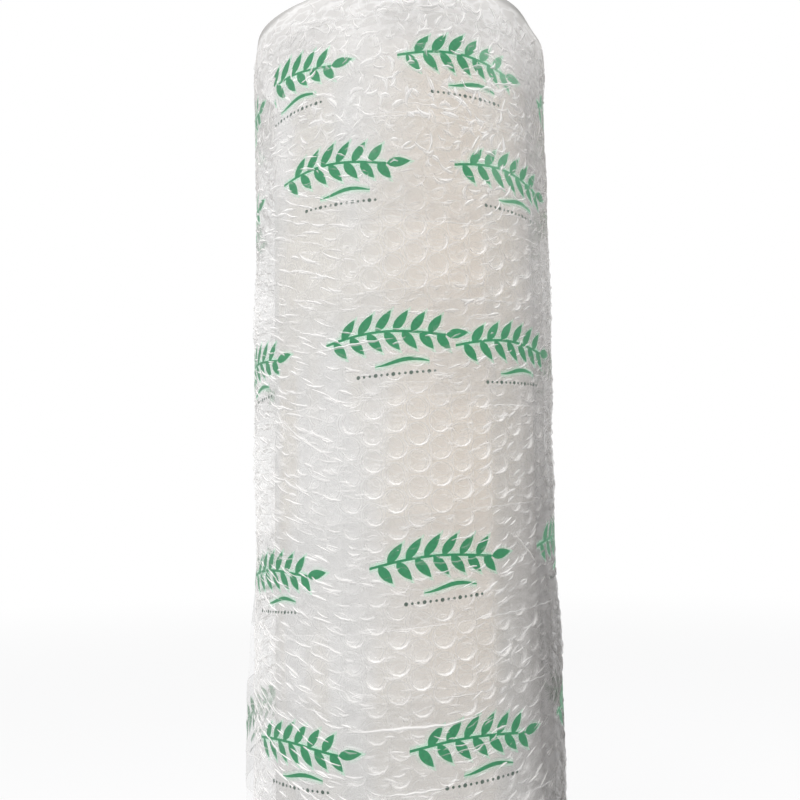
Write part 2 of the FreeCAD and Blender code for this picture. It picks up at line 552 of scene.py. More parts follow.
def first_places(wrap, sheet):
    """The lattice's column nearest the front, and its lowest row."""
    front = (FRONT + FULL_TURN - math.radians(2.6) - wrap.seam) * sheet.radii[0]
    return front, 10.65 * MM - wrap.pitch


def wrinkle_lines(shade, along, up, length, height, seed, sharp):
    """Thin wavy lines that mostly run round the roll."""
    place = shade.vector(along / length + seed, up / height + seed)
    field = shade.noise(place, 1.0, 1.0)
    return shade.clamp(1 - abs(field - 0.5) * sharp)


def shaded_side(shade):
    """How much painted shade the film gets on the roll's right side: at any height, and more low
    down.
    """
    x, y, z = shade.parts(shade.own_place())
    turned = shade.maths("ARCTAN2", x, 0 - y)
    shaded = shade.step(turned, math.radians(36), math.radians(64)) * (
        1 - shade.step(turned, math.radians(110), math.radians(150)))
    return shaded, shaded * (1 - shade.step(z, *SHADE_HEIGHTS) * 0.5)


def make_film_material(finish, wrap, sheet):
    """The clear film of the bubble sheet, hazier where the bubbles are welded on."""
    material, shade = new_material("bubble_film")
    along, up, plump = shade.parts(shade.attribute("sheet", "Vector"))
    column, row = first_places(wrap, sheet)
    distance = bubble_distance(along, up, wrap, column, row)
    line = shade.clamp(1 - abs(distance - wrap.bubble / 2) / (0.45 * MM))
    outer = shade.step(along, -2 * MM, 0.0)
    edge = shade.step(up, sheet.height - 46 * MM, sheet.height - 16 * MM) * outer
    # Painted shade: on the roll's right side the film is hazier, darker and less glossy, most
    # low down.
    shaded, low = shaded_side(shade)
    foot = 1 - shade.step(up, 0.5 * MM, 3.0 * MM)
    haze = 0.04 + line * plump * 0.4 + edge * 0.86 + shaded * 0.3 + foot * 0.45
    lines = wrinkle_lines(shade, along, up, 9 * MM, 4 * MM, 3.1, 9.0)
    # Painted shade: a grey line along the sheet's cut edges, at the top and at the foot.
    cut = shade.step(up, sheet.height - 3.0 * MM, sheet.height - 0.5 * MM)
    rim = shade.blend(lines, (0.75, 0.735, 0.71), PALE)
    colour = shade.blend(edge, shade.blend(low, finish.haze, finish.painted_shade), rim)
    colour = shade.blend(cut + foot, colour, CUT_EDGE_SHADE)
    finish_clear(shade, colour, haze, (1 - shaded) * 0.005)
    return material


def make_bubble_material(finish, name, gloss):
    """The formed film of the bubbles' walls, hazy where it is drawn, with more haze as a painted
    highlight where it catches light.
    """
    material, shade = new_material(name)
    cloudy = shade.attribute("cloudy")
    # Painted shade: darker bubble film with less gloss on the roll's right side, most low down.
    shaded, low = shaded_side(shade)
    colour = shade.blend(low, finish.haze, finish.painted_shade)
    finish_clear(shade, colour, 0.02 + cloudy, gloss and (1 - shaded) * gloss, 0.16)
    return material


def make_tape_material(finish):
    """Clear tape: a faint haze, wrinkles round the roll and pale edges."""
    material, shade = new_material("clear_tape")
    along, across, band = shade.parts(shade.attribute("sheet", "Vector"))
    lines = wrinkle_lines(shade, along, across, 9 * MM, 2.6 * MM, band, 11.0)
    near = abs(abs(across) - (TAPE_WIDTH / 2 - 0.3 * MM)) / (0.4 * MM)
    bright = shade.clamp(lines * 0.7 + shade.clamp(1 - near))
    # Painted shade: on the roll's right side the tape is darker, with fainter pale lines and
    # less gloss, most low down.
    shaded, low = shaded_side(shade)
    plain = shade.blend(low, darker(finish.haze, 0.52), finish.painted_shade)
    colour = shade.blend(bright * (1 - low * 0.5), plain, finish.haze)
    finish_clear(shade, colour, 0.13 + bright * 0.1, (1 - shaded) * 0.005,
                 height=lines * (0.04 * MM))
    return material


def make_crease_material(finish):
    """Sharp creases, which show only as pale lines."""
    material, shade = new_material("crease")
    finish_clear(shade, finish.haze, shade.attribute("cloudy"))
    return material


def make_roll_material(finish):
    """Milky wound film, warmer at the front, with painted shade on the right and rings on its
    ends.
    """
    material, shade = new_material("wound_film")
    x, y, z = shade.parts(shade.own_place())
    radius = (x * x + y * y) ** 0.5
    azimuth = shade.maths("ARCTAN2", y, x)
    rings = shade.noise(shade.vector(radius * 2600.0, 0.0), 1.0, 1)
    cloud = shade.noise(shade.vector(azimuth * 2.2, z * 6.0), 1.0, 2)
    right = azimuth + math.pi / 2

    def turning(first, last):
        """Rises from 0 to 1 between two angles from the front, in degrees."""
        return shade.step(right, math.radians(first), math.radians(last))

    turned = turning(33, 44)
    grey = turned * (1 - turning(80, 130))
    low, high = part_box("film_roll")
    half = (high.z - low.z) / 2
    end = shade.step(abs(z - (low.z + half)), half - 1.5 * MM, half - 0.5 * MM)
    colour = finish.film
    for share, tint in (
            (shade.step(cloud, 0.4, 0.65),
             [tone * part for tone, part in zip((0.97, 0.94, 0.89), finish.film)]),
            (turning(-25, 22) * (1 - turned), (0.765, 0.69, 0.60)),
            # Painted shade: grey on the roll's right side, darker still low down there.
            (grey, (0.70, 0.64, 0.56)),
            (grey * (1 - shade.step(z, *SHADE_HEIGHTS)) * 0.9, (0.47, 0.45, 0.42)),
            (1 - shade.step(z, *BASE_HEIGHTS), darker(finish.film, 0.82)),
            (shade.step(z, *TOP_HEIGHTS) * 0.5, (0.74, 0.735, 0.72)),
            # Painted light: paler high on the roll's left side.
            (turning(-40, -65) * shade.step(z, *BUSY_HEIGHTS), PALE),
            (rings * end * 0.6, darker(finish.film, 0.6))):
        colour = shade.blend(share, colour, tint)
    finish_material(shade, {"Base Color": colour, "Roughness": 0.5,
                            "Specular IOR Level": 0.06})
    return material


def make_halo_material():
    """The soft pale green light round the print, strongest at each leaf's middle."""
    material, shade = new_material("print_halo")
    finish_clear(shade, (0.52, 0.86, 0.64), shade.attribute("fade") * 0.7)
    return material


def make_print_material(name, colour, alpha):
    """Ink on the tape's inner side."""
    material, shade = new_material(name)
    mottle = shade.noise(shade.own_place(), 900.0, 2, False)
    finish_material(shade, {
        "Base Color": shade.blend(shade.step(mottle, 0.4, 0.7), colour, darker(colour, 0.8)),
        "Roughness": 0.45, "Alpha": alpha})
    return material


def make_board_material(finish):
    """Spiral-wound paperboard, with its plies on the cut ends."""
    material, shade = new_material("paperboard")
    x, y, z = shade.parts(shade.own_place())
    radius = (x * x + y * y) ** 0.5
    azimuth = shade.maths("ARCTAN2", y, x)
    lead = 95 * MM
    along = (z + azimuth * (lead / FULL_TURN)).maths("WRAP", lead, 0.0)
    seam = shade.clamp(1 - abs(along - lead / 2) / (0.5 * MM))
    fibre = shade.noise(shade.vector(x * 350.0, y * 350.0, z * 350.0), 1.0, 4, False)
    plies = shade.noise(shade.vector(radius * 1900.0, 0.0), 1.0, 1)
    colour = shade.blend(fibre, finish.board, darker(finish.board, 0.72))
    colour = shade.blend(shade.clamp(seam * 0.6 + plies * 0.3), colour,
                         darker(finish.board, 0.45))
    finish_material(shade, {"Base Color": colour, "Roughness": 0.85},
                    fibre * (0.12 * MM) - seam * (0.3 * MM))
    return material


# ---------------------------------------------------------------- bubble wrap

# A bubble's rings from its rim in: share of its radius, share of its depth, and how
# near its rim the ring is.  The inner turns hardly show, so their bubbles are plainer.
OUTER_RINGS = ((1.0, 0.02, 1.0), (0.945, 0.34, 0.5), (0.82, 0.66, 0.07), (0.6, 0.95, 0.0))
INNER_RINGS = ((1.0, 0.02, 1.0), (0.85, 0.66, 0.4))


def bubble_template(wrap, rings):
    """One bubble as a shallow cup below the flat film, made of a few rings."""
    segments = 4 + 2 * len(rings)
    places, rim = [], []
    for share, depth, edge in rings:
        for i in range(segments):
            angle = FULL_TURN * i / segments
            places.append((share * wrap.bubble / 2 * math.cos(angle),
                           share * wrap.bubble / 2 * math.sin(angle), -depth * wrap.depth))
            rim.append(edge)
    places.append((0, 0, -wrap.depth))
    rim.append(0.0)
    faces = []
    for ring in range(len(rings) - 1):
        for i in range(segments):
            here, after = ring * segments + i, ring * segments + (i + 1) % segments
            faces.append((here, after, after + segments, here + segments))
    last = (len(rings) - 1) * segments
    faces += [(last + i, last + (i + 1) % segments, len(places) - 1) for i in range(segments)]
    mesh = bpy.data.meshes.new("bubble_template")
    mesh.from_pydata(places, [], faces)
    mesh.polygons.foreach_set("use_smooth", [True] * len(mesh.polygons))
    store(mesh, "rim", np.array(rim))
    return add_object("bubble_template", mesh)


def lay_film(wrap, sheet, material):
    """The flat film: one sheet from its inner end to its free edge."""
    outer = np.linspace(0, FULL_TURN * sheet.radii[0], 201)
    inner = np.arange(sheet.starts[-1], 0, 5 * MM)
    edge_share = np.linspace(0, 1, 9)[1:]
    heights = np.linspace(0, sheet.height, 204)
    columns = len(inner) + len(outer) + len(edge_share)
    along = np.tile(np.concatenate([inner, outer, np.zeros(len(edge_share))]),
                    (len(heights), 1))
    end = sheet.flap_end(heights) * sheet.radii[0] + 1.5 * MM
    along[:, -len(edge_share):] = outer[-1] + end[:, None] * edge_share[None, :]
    up = np.repeat(heights, columns)
    flat = along.ravel()
    top_wave = 0.9 * MM * np.sin(flat / (23 * MM)) + 0.6 * MM * np.sin(flat / (9 * MM) + 1)
    up = up + top_wave * np.clip((up - 490 * MM) / WAVY_EDGE, 0, 1)
    mesh = mesh_of("wrap_film", sheet.wind(flat, up, np.zeros(len(up))),
                   grid_faces(columns, len(heights)))
    plump = 1 - sheet.creased(wrap.seam + flat / sheet.radii[0], up)
    store(mesh, "sheet", np.stack([flat, up, plump], 1))
    return new_piece("wrap_film", mesh, material, ["bubble_wrap"], True)


def bubble_haze_and_glint(rim, flat, wrap, sheet, strength):
    """How hazy each point of the bubbles is: most on the lower wall, a painted highlight on the
    side that catches the light.
    """
    random = np.random.default_rng(wrap.seed)
    middle = flat.mean(1)
    offset = flat - flat.mean(1, keepdims=True)
    azimuth = wrap.seam + middle[:, 0] / sheet.radii[0]
    left, right = sheet.side(azimuth, -1), sheet.side(azimuth, 1)
    lean = (random.normal(0, 0.4, len(flat)) + 0.55 * right - 0.4 * left)[:, None]
    down = np.clip((np.sin(lean) * offset[:, :, 0] - np.cos(lean) * offset[:, :, 1])
                   / (wrap.bubble / 2), 0, 1)
    wall = np.clip(1.2 - np.abs(rim - 0.5) * 3, 0, 1)
    plump = 1 - 0.75 * sheet.creased(azimuth, middle[:, 1])[:, None]
    bright = (0.35 + 0.85 * random.uniform(0, 1, (len(flat), 1))) * plump
    # Painted highlight: the haze on each bubble's lower wall stands in for its glint.
    cloudy = strength * (0.15 * plump * np.clip(rim * 2, 0, 1) + bright * wall * down ** 1.3)
    return cloudy * (1 - 0.6 * left[:, None])


def lay_bubbles(name, wrap, sheet, material, low, high, strength, rings):
    """The bubbles between two distances along the sheet."""
    template = bubble_template(wrap, rings)
    size = len(template.data.vertices)
    front, first_row = first_places(wrap, sheet)
    column_gap = wrap.pitch * math.sqrt(3) / 2
    skipped = math.ceil((low + wrap.bubble / 2 - front) / column_gap / 2) * 2
    columns = int((high - wrap.bubble / 2 - front) / column_gap) - skipped + 1
    rows = int((sheet.height - first_row) / wrap.pitch) + 1
    mesh = grown(lattice_tree(template, material), {
        "Columns": columns, "Rows": rows, "Column gap": column_gap, "Row gap": wrap.pitch,
        "First column": front + skipped * column_gap, "First row": first_row,
        "Size spread": 0.05, "Tilt": math.radians(4), "Turn": math.pi, "Jitter": 0.25 * MM,
        "Seed": wrap.seed})
    bpy.data.objects.remove(template)
    cloudy = bubble_haze_and_glint(stored(mesh, "rim").reshape(-1, size),
                               places_of(mesh).reshape(-1, size, 3), wrap, sheet, strength)
    store(mesh, "cloudy", cloudy.ravel())
    keep_bubbles_inside(mesh, sheet)
    flat = places_of(mesh)
    depth = 0.05 * MM + np.clip(-flat[:, 2], 0, wrap.sheet - 0.15 * MM)
    wound = sheet.wind(flat[:, 0], flat[:, 1], depth)
    store(mesh, "sheet", flat)
    mesh.vertices.foreach_set("co", wound.ravel())
    return new_piece(name, mesh, material, clear=True)


def keep_bubbles_inside(mesh, sheet):
    """Cut bubbles off at the sheet's two long edges, as the knife leaves them."""
    whole = bmesh.new()
    whole.from_mesh(mesh)
    for height, direction in ((sheet.height - 0.4 * MM, 1), (0.4 * MM, -1)):
        bmesh.ops.bisect_plane(
            whole, geom=whole.verts[:] + whole.edges[:] + whole.faces[:],
            plane_co=(0, height, 0), plane_no=(0, direction, 0), clear_outer=True)
    whole.to_mesh(mesh)
    whole.free()


def ribbon(middles, half, lean):
    """A thin ridge of film along a line: its places, its haze and its faces.

    Its upper slope catches the light, and its haze there is partly a painted highlight; the
    slope under it is in shade.
    """
    middles = np.array(middles)
    taper = 1 - np.linspace(-1, 1, len(middles)) ** 2
    places, cloudy = [], []
    for above, out, haze in ((1.0, 0, 0), (0, 1, 1), (-0.9, 1.2, 0.25), (-1.6, 0.5, 0.55),
                             (-2.4, 0, 0)):
        places.append(np.stack([middles[:, 0], middles[:, 1] + above * (half * taper + 0.03),
                                out * lean * half * taper + 0.02], 1))
        cloudy.append(haze * taper ** 0.7)
    return (np.stack(places, 1).reshape(-1, 3) * MM, np.stack(cloudy, 1).ravel(),
            grid_faces(len(places), len(middles)))


# Three kinds of fold: how much they bow, how much they turn, their lowest row, and
# what is added to the sheet's seed.
FOLDS = {"cupped": (1.2, 0.3, 0.0, 15), "bowed": (-0.7, 0.3, 0.0, -4),
         "curled": (2.4, math.pi, BUSY_HEIGHTS[0], 55)}


def swing_folds(folds, turn, wrap, sheet, random):
    """Stretch and swing the folds as they lie round the roll; return their brightness."""
    middle = folds.mean(1)
    azimuth = wrap.seam + middle[:, 0] / sheet.radii[0]
    top = rise(middle[:, 1], *BUSY_HEIGHTS)
    left, right = sheet.side(azimuth, -1) * (1 - 0.8 * top), sheet.side(azimuth, 1)
    swing = 0.45 * right - 0.33 * left + top * random.normal(0, 0.8, len(folds))
    reach = 1 + 0.7 * left + 0.2 * right
    across = (folds[:, :, 0] - middle[:, None, 0]) * reach[:, None]
    above = (folds[:, :, 1] - middle[:, None, 1]) * (1 + 0.6 * top[:, None])
    cos, sin = np.cos(swing)[:, None], np.sin(swing)[:, None]
    folds[:, :, 0] = middle[:, None, 0] + across * cos - above * sin
    folds[:, :, 1] = middle[:, None, 1] + across * sin + above * cos
    bright = random.uniform(0, 1, len(folds)) * (
        0.3 + 1.05 * sheet.creased(azimuth, middle[:, 1]))
    return bright * (1 + (0.7 - 0.5 * turn) * left + 0.4 * top)


def lay_folds(name, wrap, sheet, material, bow, turn, lowest, seed):
    """Small curved folds all over the outer turn, their ends bowed up or down."""
    shares = np.linspace(-1, 1, 5)
    places, cloudy, faces = ribbon(
        np.stack([shares * 3.6, bow * shares * shares], 1), 0.5, 0.95)
    mesh = mesh_of("fold_template", places, faces)
    store(mesh, "cloudy", cloudy)
    template = add_object("fold_template", mesh)
    column_gap, row_gap = wrap.pitch * 0.68, wrap.pitch * 0.72
    mesh = grown(lattice_tree(template, material), {
        "Columns": int(FULL_TURN * sheet.radii[0] / column_gap) - 1,
        "Rows": int((sheet.height - lowest) / row_gap) - 1,
        "Column gap": column_gap, "Row gap": row_gap, "First column": column_gap,
        "First row": lowest + row_gap * 0.6, "Size spread": 0.4, "Tilt": 0.0, "Turn": turn,
        "Jitter": row_gap * 0.4, "Seed": seed})
    bpy.data.objects.remove(template)
    flat = places_of(mesh)
    bright = swing_folds(flat.reshape(-1, len(places), 3), turn, wrap, sheet,
                         np.random.default_rng(seed))
    store(mesh, "cloudy", stored(mesh, "cloudy") * np.repeat(bright, len(places)))
    store(mesh, "sheet", flat)
    wound = sheet.wind(flat[:, 0], flat[:, 1], -0.02 * MM - flat[:, 2])
    mesh.vertices.foreach_set("co", wound.ravel())
    return new_piece(name, mesh, material, clear=True)


def lay_creases(name, creases, material):
    """Long thin creases, each given by its points, half-width, strength and winding."""
    all_places, all_haze_and_glint, all_faces, count = [], [], [], 0
    for points, half, strength, wind in creases:
        reach = np.concatenate([[0], np.cumsum(np.hypot(*np.diff(points, axis=0).T))])
        steps = np.linspace(0, reach[-1], 17)
        line = np.stack([np.interp(steps, reach, points[:, axis]) for axis in (0, 1)], 1)
        line[:, 1] += 0.25 * np.sin(steps * 0.9)
        places, cloudy, faces = ribbon(line, half, 0.9)
        all_places.append(wind(places))
        all_haze_and_glint.append(cloudy * strength)
        all_faces.append(faces + count)
        count += len(places)
    mesh = mesh_of(name, np.concatenate(all_places), np.concatenate(all_faces))
    store(mesh, "cloudy", np.concatenate(all_haze_and_glint))
    return new_piece(name, mesh, material, clear=True)


def bent(x, y, reach, drop, lift):
    """Three points of a crease: its two ends, and its middle a little off their line."""
    return np.array([(x - reach, y - drop), (x, y + lift), (x + reach, y + drop)])


# Creases in the bubble sheet: (azimuth from the front, height) in degrees and mm.
WRAP_CREASES = (
    ((-53, 318), (-36, 302), (-24, 293), (-17, 289)),
    ((-60, 402), (-56, 380), (-52, 362)),
    ((-46, 446), (-52, 425), (-57, 398)),
    ((-52, 322), (-47, 312), (-43, 304)),
)


def wrap_creases(wrap, sheet):
    """The bubble sheet's creases: a few large ones, a busy patch and faint long ones."""
    def wind(places):
        return sheet.wind(places[:, 0], places[:, 1], -0.1 * MM - places[:, 2])

    def along(degrees):
        turned = (math.radians(degrees) + FRONT - wrap.seam) % FULL_TURN
        return turned * sheet.radii[0] / MM

    random = np.random.default_rng(wrap.seed)
    creases = [(np.array([(along(azimuth), up) for azimuth, up in path]), 0.42, 0.8, wind)
               for path in WRAP_CREASES]
    for _ in range(16):
        x, y = along(-47) + random.normal(0, 5), 311 + random.normal(0, 7)
        slope = random.normal(-0.7, 0.5)
        creases.append((bent(x, y, 4, 4 * slope, 0.7), 0.35, random.uniform(0.3, 0.9), wind))
    length, height = FULL_TURN * sheet.radii[0] / MM, sheet.height / MM
    for _ in range(60):
        x, y = random.uniform(30, length - 30), random.uniform(30, height - 30)
        reach, slope = random.uniform(8, 24), random.normal(0, 1.0)
        drop = reach * slope / math.hypot(1, slope)
        reach /= math.hypot(1, slope)
        points = bent(x, y, reach, drop, random.normal(0, 0.8))
        creases.append((points, 0.25, random.uniform(0.15, 0.5), wind))
    return creases


# ---------------------------------------------------------------- tape

# Azimuth from the front of the middle of one printed mark, lowest band first.
MARK_ANGLES = (12, -31, 22, 10, 39, -23.5, 21)
# Azimuth from the front where a band's upper end lies, and how far it drifts down.
LAP_ANGLES = (150, 190, 165, 205, 10, 140, 308)
LAP_DRIFTS = (1.5, -2.0, 2.0, -1.5, -6.0, 1.0, -1.0)


class TapeBand:
    """Where one band of tape lies."""

    lap = 24 * MM

    def __init__(self, place, tape, sheet):
        self.place, self.tape, self.sheet = place, tape, sheet
        self.centre, self.slope = sheet.bands[place]
        self.radius = sheet.small_radius
        self.start = FRONT + math.radians(LAP_ANGLES[place])
        self.drift = LAP_DRIFTS[place] * MM
        self.length = FULL_TURN * self.radius * 1.012 + self.lap
        angle = math.radians(MARK_ANGLES[place] - LAP_ANGLES[place]) % FULL_TURN
        self.first_mark = (angle * self.radius) % tape.repeat

    def wind(self, along, across, lift):
        """Turn flat places on the tape into places in space."""
        azimuth = self.start + along / self.radius
        up = (self.centre + across + self.slope * self.radius * np.cos(azimuth)
              + self.drift * np.clip(1 - along / self.length, 0, 1))
        over = np.clip(1 - (along - self.lap) / (4 * MM), 0, 1) * 0.12 * MM
        ripple = sum(size * (1 + np.sin(along / (long * MM) + across / (wide * MM) + start))
                     for size, long, wide, start in (
                         (0.05, 9, 2.1, 0.0), (0.04, -7, 1.7, 2.0), (0.035, 5, 3.3, 4.0)))
        radius = (self.sheet.outside(azimuth, up) + self.tape.gap + over
                  + ripple * MM + lift)
        return np.stack([radius * np.cos(azimuth), radius * np.sin(azimuth), up], 1)


# Long creases: band, half-width, then (azimuth from the front, height above the middle).
TAPE_CREASES = (
    (4, 0.42, ((-34, 1.0), (-20, 1.6), (-1, 2.5))),
    (2, 0.6, ((-24, 11.6), (-3, 12.8), (12, 12.5), (28, 15.0))),
    (3, 0.4, ((38, 12.0), (52, -6.0))),
    (2, 0.4, ((-10, -14.0), (14, -13.0))),
    (6, 0.42, ((30, -6.0), (48, 2.0))),
)


def lay_tape(band, material):
    """One band of tape."""
    columns = int(band.length / (1.5 * MM))
    rows = 38
    along = np.tile(np.linspace(0, band.length, columns), rows)
    share = np.repeat(np.linspace(-1, 1, rows), columns)
    across = share * band.tape.width / 2
    across = across + (np.abs(share) > 0.99) * 0.25 * MM * np.sin(along / (11 * MM))
    curl = np.clip((np.abs(share) - 0.93) / 0.07, 0, 1) * 0.25 * (
        1 + np.sin(along / (17 * MM) + band.place))
    mesh = mesh_of(f"clear_tape_{band.place + 1}", band.wind(along, across, curl * MM),
                   grid_faces(columns, rows))
    store(mesh, "sheet", np.stack([along, across, np.full(len(along), band.place * 5.0)], 1))
    return new_piece(mesh.name, mesh, material, [BANDS[band.place]], True)


def tape_creases(band):
    """A band's creases: the large ones, faint ones and its glinting edges."""
    def wind(places):
        edge = TAPE_WIDTH / 2 - 0.1 * MM
        inside = np.clip(places[:, 1], -edge, edge)
        return band.wind(places[:, 0], inside, places[:, 2] + 0.05 * MM)

    creases = []
    for place, half, path in TAPE_CREASES:
        if place == band.place:
            points = [((math.radians(azimuth) + FRONT - band.start) % FULL_TURN
                       * band.radius / MM, across) for azimuth, across in path]
            creases.append((np.array(points), half, 1.3, wind))
    random = np.random.default_rng(band.tape.seed * 10 + band.place)
    length, half = band.length / MM, TAPE_WIDTH / MM / 2
    for _ in range(30):
        x, y = random.uniform(20, length - 20), random.uniform(2 - half, half - 2)
        reach, slope = random.uniform(6, 20), random.normal(0, 0.2)
        points = bent(x, y, reach, slope * reach, random.normal(0, 0.6))
        creases.append((points, 0.3, random.uniform(0.2, 0.7), wind))
    for edge in (0.4 - half, half - 0.4):
        x = random.uniform(0, 20)
        while x < length - 50:
            reach = random.uniform(18, 50)
            creases.append((np.array([(x, edge), (x + reach, edge)]), 0.25,
                            random.uniform(0.2, 0.8), wind))
            x += reach + random.uniform(0, 20)
    return creases


# ---------------------------------------------------------------- print

def add_leaf(places, faces, root, angle, length, width):
    """Add one flat leaf to a motif, lying just above the leaf before it."""
    shares = np.linspace(0, 1, 7)
    steps, halves = shares * length, width / 2 * np.sin(math.pi * shares ** 0.8) ** 0.9
    along, side = math.cos(angle), math.sin(angle)
    first, height = len(places), 0.00004 * len(places)
    for step, half in zip(steps, halves):
        for share in (-half, 0, half):
            places.append((root[0] + step * along - share * side,
                           root[1] + step * side + share * along, height))
    for i in range(len(steps) - 1):
        for j in (0, 1):
            a = first + 3 * i + j
            faces.append((a, a + 3, a + 4, a + 1))


def sprig(grow):
    """A leafy sprig over a short curved stroke, every edge moved out by grow."""
    places, faces = [], []
    stem = [(x, 3.0 + 2.6 * math.sin((x + 29) / 57 * math.pi * 1.15))
            for x in np.linspace(-29, 25.5, 15)]
    stroke = [(x, -9.6 + 2.4 * math.sin((x + 6) / 24 * math.pi * 0.8) ** 2)
              for x in np.linspace(-6, 18, 9)]
    for line, thick in ((stem, 0.55), (stroke, 0.9)):
        taper = [1.0] * len(line) if line is stem else np.sin(np.linspace(0.15, 2.9, 9))
        for (x0, y0), (x1, y1), size0, size1 in zip(line, line[1:], taper, taper[1:]):
            half0, half1 = thick * size0 + grow, thick * size1 + grow
            first = len(places)
            places += [(x0, y0 - half0, 0), (x0, y0, 0), (x0, y0 + half0, 0),
                       (x1, y1 - half1, 0), (x1, y1, 0), (x1, y1 + half1, 0)]
            faces += [(first, first + 3, first + 4, first + 1),
                      (first + 1, first + 4, first + 5, first + 2)]
    for i, (x, y) in enumerate(stem[1:-1]):
        side = 1 if i % 2 else -1
        angle = side * math.radians(52)
        root = (x - grow * math.cos(angle), y - grow * math.sin(angle))
        add_leaf(places, faces, root, angle, 11.5 - 0.3 * abs(i - 5) + 2 * grow,
                 4.2 + 2 * grow)
    add_leaf(places, faces, stem[-1], math.radians(5), 10.5 + grow, 4.4 + 2 * grow)
    return np.array(places) * MM, faces


def dot_row():
    """A row of small dots: its places and faces."""
    places, faces = [], []
    for i in range(14):
        x, radius = -13.5 + 2.6 * i, 0.62 if i % 3 else 0.9
        first = len(places)
        for corner in range(8):
            angle = FULL_TURN * (corner + 0.5) / 8
            places.append((x + radius * math.cos(angle), -13.4 + radius * math.sin(angle), 0))
        faces.append(tuple(range(first, first + 8)))
    return np.array(places) * MM, faces


def lay_print(name, bands, shape, material, lift):
    """Repeat a motif along every band and wind it just outside the tape."""
    places, faces = shape
    motif = bpy.data.meshes.new("motif")
    motif.from_pydata(places.tolist(), [], faces)
    template = add_object("motif", motif)
    all_places, all_fades, all_faces, first = [], [], [], 0
    for band in bands:
        count = int((band.length - band.first_mark) / band.tape.repeat) + 1
        mesh = grown(repeat_tree(template, material), {
            "Count": count, "First": band.first_mark, "Repeat": band.tape.repeat})
        flat = places_of(mesh)
        inside = (flat[:, 0] > 0.5 * MM) & (flat[:, 0] < band.length - 0.5 * MM)
        for polygon in mesh.polygons:
            corners = list(polygon.vertices)
            if all(inside[corners]):
                all_faces.append([first + corner for corner in corners])
        all_places.append(band.wind(flat[:, 0], flat[:, 1], flat[:, 2] + lift))
        # Leaves and stem are three points across, and the middle one is not faded.
        all_fades.append(np.arange(len(flat)) % len(places) % 3 == 1)
        first += len(flat)
    bpy.data.objects.remove(template)
    mesh = bpy.data.meshes.new(name)
    mesh.from_pydata(np.concatenate(all_places).tolist(), [], all_faces)
    store(mesh, "fade", np.concatenate(all_fades).astype(float))
    return new_piece(name, mesh, material, clear=True)


# ---------------------------------------------------------------- operators

class ROLL_OT_film_roll(bpy.types.Operator):
    """Make the wound stretch film"""

    bl_idname = "roll.film_roll"
    bl_label = "Film roll"

    def execute(self, context):
        low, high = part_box("film_roll")
        outer, inner = high.x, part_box("core_tube")[1].x
        random = np.random.default_rng(5)
        rings = np.linspace(inner, outer, 34)
        drop = random.uniform(0, 0.35, len(rings)) * MM
        outline = [(radius, high.z - depth) for radius, depth in zip(rings, drop)]
        outline += [(outer, high.z - 1.0 * MM), (outer, low.z + 0.5 * MM)]
        outline += [(radius, low.z) for radius in rings[::-1]]
        mesh = lathe("film_winding", outline[::-1], 128)
        material = make_roll_material(context.scene.roll_finish)
        new_piece("film_winding", mesh, material, ["film_roll"])
        return {"FINISHED"}


class ROLL_OT_core(bpy.types.Operator):
    """Make the paper core"""

    bl_idname = "roll.core"
    bl_label = "Core"

    def execute(self, context):
        low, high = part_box("core_tube")
        outer, edge = high.x, 0.5 * MM
        inner = outer - CORE_WALL
        outline = [(inner, low.z + edge), (inner + edge, low.z), (outer - edge, low.z),
                   (outer, low.z + edge), (outer, high.z - edge), (outer - edge, high.z),
                   (inner + edge, high.z), (inner, high.z - edge)]
        mesh = lathe("paper_core", outline, 96)
        material = make_board_material(context.scene.roll_finish)
        new_piece("paper_core", mesh, material, ["core_tube"])
        return {"FINISHED"}


class ROLL_OT_bubble_wrap(bpy.types.Operator):
    """Make the bubble sheet that is wound round the film"""

    bl_idname = "roll.bubble_wrap"
    bl_label = "Bubble wrap"

    def execute(self, context):
        wrap, finish = context.scene.roll_wrap, context.scene.roll_finish
        sheet = WoundSheet(wrap)
        lay_film(wrap, sheet, make_film_material(finish, wrap, sheet))
        end = FULL_TURN * sheet.radii[0]
        outer = make_bubble_material(finish, "outer_bubbles", 0.016)
        lay_bubbles("wrap_bubbles_outer", wrap, sheet, outer, 0, end, 1.2, OUTER_RINGS)
        folds = make_bubble_material(finish, "film_folds", 0)
        for name, (bow, turn, lowest, added) in FOLDS.items():
            lay_folds(f"wrap_folds_{name}", wrap, sheet, folds, bow, turn, lowest,
                      wrap.seed + added)
        lay_creases("wrap_creases", wrap_creases(wrap, sheet),
                    make_crease_material(finish))
        inner = make_bubble_material(finish, "inner_bubbles", 0)
        for turn, (low, high) in enumerate(zip(sheet.starts[1:], sheet.starts)):
            lay_bubbles(f"wrap_bubbles_turn_{turn + 2}", wrap, sheet, inner, low, high, 0.25,
                        INNER_RINGS)
        return {"FINISHED"}


class ROLL_OT_tape(bpy.types.Operator):
    """Make the bands of clear tape and their print"""

    bl_idname = "roll.tape"
    bl_label = "Tape"

    def execute(self, context):
        tape, finish = context.scene.roll_tape, context.scene.roll_finish
        sheet = WoundSheet(context.scene.roll_wrap)
        bands = [TapeBand(place, tape, sheet) for place in range(len(BANDS))]
        material = make_tape_material(finish)
        for band in bands:
            lay_tape(band, material)
        creases = [crease for band in bands for crease in tape_creases(band)]
        lay_creases("tape_creases", creases, make_crease_material(finish))
        green = make_print_material("green_print", finish.print_green, 0.97)
        ink = make_print_material("dot_print", (0.045, 0.09, 0.065), 0.9)
        lay_print("print_halo", bands, sprig(1.9), make_halo_material(), 0.05 * MM)
        lay_print("print_sprigs", bands, sprig(0.0), green, 0.12 * MM)
        lay_print("print_dots", bands, dot_row(), ink, 0.12 * MM)
        return {"FINISHED"}


